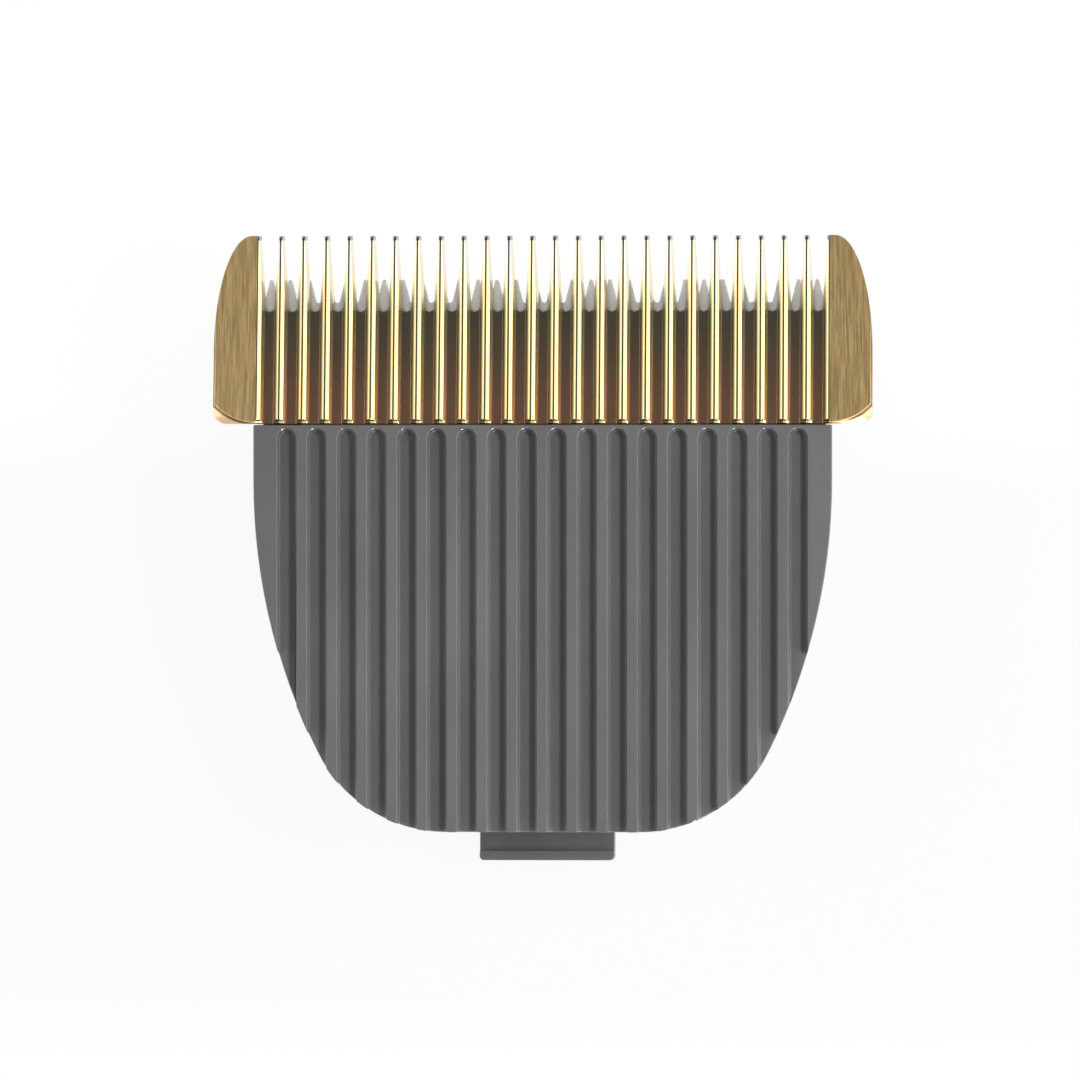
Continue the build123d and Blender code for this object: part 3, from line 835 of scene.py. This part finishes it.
class CLIPPER_OT_screws(bpy.types.Operator):
    """Models one clamp screw with a domed head and a cross recess, and copies it"""

    bl_idname = "clipper.screws"
    bl_label = "Clamp screws"

    def execute(self, context):
        sizes = context.scene.blade_sizes
        zinc = zinc_finish(context.scene.blade_colours)
        head_low = screws_low.z
        head_radius = sizes.head_diameter / 2
        middle = Vector((screws_high.x - head_radius, (screws_low.y + screws_high.y) / 2, 0.0))
        bpy.ops.object.select_all(action="DESELECT")
        bpy.ops.mesh.primitive_cylinder_add(
            vertices=SCREW_SIDES, radius=head_radius, depth=sizes.head_height,
            location=middle + Vector((0.0, 0.0, head_low + sizes.head_height / 2)),
        )
        screw = bpy.context.active_object
        screw.name = "clamp_screw_right"
        bpy.ops.object.transform_apply(location=True, rotation=True, scale=True)
        bpy.ops.object.mode_set(mode="EDIT")
        bpy.ops.mesh.select_mode(type="FACE")
        self.select_end(screw, -1.0)
        bpy.ops.mesh.bevel(offset=sizes.head_rounding, segments=5, affect="EDGES")
        self.select_end(screw, 1.0)
        bpy.ops.mesh.inset(thickness=(sizes.head_diameter - sizes.shank_diameter) / 2)
        shank = screws_high.z - head_low - sizes.head_height
        bpy.ops.mesh.extrude_region_move(TRANSFORM_OT_translate={"value": (0.0, 0.0, shank)})
        bpy.ops.mesh.bevel(offset=sizes.shank_tip, segments=2, affect="EDGES")
        bpy.ops.object.mode_set(mode="OBJECT")
        recess = self.cross_recess(sizes, middle, head_low)
        pick(screw)
        cut = screw.modifiers.new("recess", "BOOLEAN")
        cut.operation = "DIFFERENCE"
        cut.object = recess
        cut.solver = "EXACT"
        bpy.ops.object.modifier_apply(modifier=cut.name)
        bpy.data.objects.remove(recess)
        rounding = screw.modifiers.new("edges", "BEVEL")
        rounding.width = sizes.screw_edge
        rounding.segments = 2
        rounding.limit_method = "ANGLE"
        rounding.angle_limit = radians(40.0)
        rounding.use_clamp_overlap = False
        bpy.ops.object.modifier_apply(modifier=rounding.name)
        bpy.ops.object.shade_smooth_by_angle(angle=radians(35.0))
        bpy.ops.object.duplicate()
        other = bpy.context.active_object
        other.name = "clamp_screw_left"
        bpy.ops.object.mode_set(mode="EDIT")
        bpy.ops.mesh.select_all(action="SELECT")
        bpy.ops.transform.translate(value=(-2 * middle.x, 0.0, 0.0))
        bpy.ops.object.mode_set(mode="OBJECT")
        for piece in (screw, other):
            finished(piece, "holder", zinc, "screw_steel", "clamp_screws")
        return {"FINISHED"}

    def select_end(self, screw, side):
        """Selects the round end face that looks up, or down for a side of minus one."""
        select_only(
            screw, "polygons",
            lambda face: face.normal.z * side > FACING and len(face.vertices) == SCREW_SIDES,
        )

    def cross_recess(self, sizes, middle, head_low):
        """A tapered cross that cuts the recess."""
        bpy.ops.object.select_all(action="DESELECT")
        bpy.ops.mesh.primitive_cube_add(
            size=1.0, location=middle + Vector((0.0, 0.0, head_low)),
            scale=(sizes.recess_width, sizes.recess_width, 2 * sizes.recess_depth),
        )
        recess = bpy.context.active_object
        bpy.ops.object.transform_apply(location=True, rotation=True, scale=True)
        bpy.ops.object.mode_set(mode="EDIT")
        bpy.ops.mesh.select_mode(type="FACE")
        arm = (sizes.recess_length - sizes.recess_width) / 2
        for way in (Vector((1, 0, 0)), Vector((-1, 0, 0)), Vector((0, 1, 0)), Vector((0, -1, 0))):
            across = Vector((-way.y, way.x, 0.0))
            select_only(
                recess, "polygons",
                lambda face: face.normal.dot(way) > FACING
                and abs((face.center - middle).dot(across)) < sizes.recess_width / 4,
            )
            bpy.ops.mesh.extrude_region_move(TRANSFORM_OT_translate={"value": way * arm})
        select_only(recess, "polygons", lambda face: face.normal.z > FACING)
        bpy.ops.transform.resize(value=(RECESS_TAPER, RECESS_TAPER, 1.0), center_override=middle)
        bpy.ops.object.mode_set(mode="OBJECT")
        return recess


class CLIPPER_OT_stage(bpy.types.Operator):
    """Lays the pale floor and sets the lights, the dark card above and the camera"""

    bl_idname = "clipper.stage"
    bl_label = "Stage"

    def execute(self, context):
        stage = context.scene.blade_stage
        bpy.ops.object.select_all(action="DESELECT")
        bpy.ops.mesh.primitive_plane_add(size=FLOOR_SIZE, location=(0.0, 0.0, -FLOOR_DROP))
        floor = bpy.context.active_object
        floor.name = "floor"
        floor.data.materials.append(self.floor_material(context.scene.blade_colours))
        self.dark_card(stage)
        self.shade_flag(stage)
        self.lamp("left_light", stage.left_power)
        self.lamp("right_light", stage.right_power)
        key = self.lamp("key_light", stage.key_power)
        strip = self.lamp("front_light", stage.front_power)
        for lamp in (key, strip):
            lamp.visible_glossy = False
        glint = self.lamp("back_light", stage.back_power)
        glint.visible_diffuse = False
        self.room_light(context.scene, stage.world_light)
        bpy.ops.object.camera_add()
        camera = bpy.context.active_object
        camera.name = "camera"
        camera.rotation_euler = (0.0, stage.lean, 0.0)
        backward = Vector((sin(stage.lean), 0.0, cos(stage.lean)))
        camera.location = Vector(stage.look_at) + stage.distance * backward
        camera.data.sensor_width = SENSOR_WIDTH
        camera.data.lens = SENSOR_WIDTH * stage.distance / stage.frame_width
        camera.data.clip_start = 0.01
        camera.data.clip_end = 20.0
        context.scene.camera = camera
        context.scene.view_settings.view_transform = "Standard"
        return {"FINISHED"}

    def panel(self, stage, name, place, size):
        """A flat dark panel that the camera doesn't see."""
        bpy.ops.object.select_all(action="DESELECT")
        bpy.ops.mesh.primitive_plane_add(size=1.0, location=place)
        panel = bpy.context.active_object
        panel.name = name
        bpy.ops.transform.resize(value=(*size, 1.0))
        bpy.ops.object.transform_apply(location=True, rotation=True, scale=True)
        panel.data.materials.append(self.card_material(stage, name))
        panel.visible_camera = False
        return panel

    def dark_card(self, stage):
        """A band over the object that bends down before the teeth and keeps the light to the sides."""
        size = (stage.card_width, CARD_LENGTH)
        card = self.panel(stage, "dark_card", (0.0, 0.0, CARD_HEIGHT), size)
        bpy.ops.object.mode_set(mode="EDIT")
        bpy.ops.mesh.select_mode(type="EDGE")
        select_only(
            card, "edges", lambda edge: all(card.data.vertices[i].co.y > 0.0 for i in edge.vertices)
        )
        bpy.ops.mesh.extrude_region_move(TRANSFORM_OT_translate={"value": CARD_BEND})
        bpy.ops.object.mode_set(mode="OBJECT")
        return card

    def shade_flag(self, stage):
        """A small flag that keeps the strip's light off the holder."""
        flag = self.panel(stage, "shade_flag", FLAG_PLACE, FLAG_SIZE)
        flag.visible_diffuse = False
        flag.visible_glossy = False
        return flag

    def lamp(self, name, power):
        """A soft lamp that looks at the object."""
        place, size = LAMPS[name]
        bpy.ops.object.light_add(type="AREA", location=place)
        lamp = bpy.context.active_object
        lamp.name = name
        lamp.rotation_euler = Vector(place).to_track_quat("Z", "Y").to_euler()
        lamp.data.shape = "RECTANGLE"
        lamp.data.size, lamp.data.size_y = size
        lamp.data.energy = power
        lamp.visible_camera = False
        return lamp

    def seen(self, tree):
        """One for camera, glossy and transmission rays."""
        path = add_node(tree, "ShaderNodeLightPath")
        either = calc(tree, "MAXIMUM", path.outputs["Is Camera Ray"], path.outputs["Is Glossy Ray"])
        return calc(tree, "MAXIMUM", either, path.outputs["Is Transmission Ray"])

    def floor_material(self, colours):
        """White to the eye, with a part of the real shading so that the shadow stays."""
        material = bpy.data.materials.new("pale_floor")
        material.use_nodes = True
        tree = material.node_tree
        tree.nodes.clear()
        paint = add_node(tree, "ShaderNodeBsdfDiffuse")
        paint.inputs["Color"].default_value = (*colours.floor_white, 1.0)
        glow = add_node(tree, "ShaderNodeEmission")
        mix = add_node(tree, "ShaderNodeMixShader")
        tree.links.new(calc(tree, "MULTIPLY", self.seen(tree), FLOOR_GLOW), mix.inputs["Fac"])
        tree.links.new(paint.outputs[0], mix.inputs[1])
        tree.links.new(glow.outputs[0], mix.inputs[2])
        output = add_node(tree, "ShaderNodeOutputMaterial")
        tree.links.new(mix.outputs[0], output.inputs["Surface"])
        return material

    def card_material(self, stage, name):
        """Matt dark card."""
        material, _, shader = new_material(name)
        shader["Base Color"].default_value = (*[stage.card_shade] * 3, 1.0)
        shader["Roughness"].default_value = 0.9
        return material

    def room_light(self, scene, strength):
        """A room that is white to the eye and lights softly."""
        world = scene.world or bpy.data.worlds.new("room")
        scene.world = world
        world.use_nodes = True
        tree = world.node_tree
        tree.nodes.clear()
        background = add_node(tree, "ShaderNodeBackground")
        level = between(tree, self.seen(tree), start=strength, end=1.0)
        tree.links.new(level, background.inputs["Strength"])
        output = add_node(tree, "ShaderNodeOutputWorld")
        tree.links.new(background.outputs[0], output.inputs["Surface"])


class CLIPPER_PT_sidebar(bpy.types.Panel):
    """Lists the pieces, their sizes and colours, and the stage"""

    bl_idname = "CLIPPER_PT_sidebar"
    bl_label = "Clipper Blade"
    bl_space_type = "VIEW_3D"
    bl_region_type = "UI"
    bl_category = "Clipper Blade"

    def draw(self, context):
        layout = self.layout
        scene = context.scene
        for operator in OPERATORS:
            layout.operator(operator.bl_idname)
        for group in (scene.blade_sizes, scene.blade_colours, scene.blade_stage):
            box = layout.box()
            for name in group.bl_rna.properties.keys():
                if name not in {"rna_type", "name"}:
                    box.prop(group, name)


OPERATORS = (
    CLIPPER_OT_holder,
    CLIPPER_OT_comb,
    CLIPPER_OT_cutter,
    CLIPPER_OT_carrier,
    CLIPPER_OT_spring,
    CLIPPER_OT_screws,
    CLIPPER_OT_stage,
)
CLASSES = (BladeSizes, BladeColours, StageSettings, *OPERATORS, CLIPPER_PT_sidebar)


def register():
    for cls in CLASSES:
        bpy.utils.register_class(cls)
    bpy.types.Scene.blade_sizes = PointerProperty(type=BladeSizes)
    bpy.types.Scene.blade_colours = PointerProperty(type=BladeColours)
    bpy.types.Scene.blade_stage = PointerProperty(type=StageSettings)


def unregister():
    del bpy.types.Scene.blade_stage
    del bpy.types.Scene.blade_colours
    del bpy.types.Scene.blade_sizes
    for cls in reversed(CLASSES):
        bpy.utils.unregister_class(cls)


def main():
    register()
    bpy.ops.clipper.holder()
    bpy.ops.clipper.comb()
    bpy.ops.clipper.cutter()
    bpy.ops.clipper.carrier()
    bpy.ops.clipper.spring()
    bpy.ops.clipper.screws()
    bpy.ops.clipper.stage()


if __name__ == "__main__":
    main()
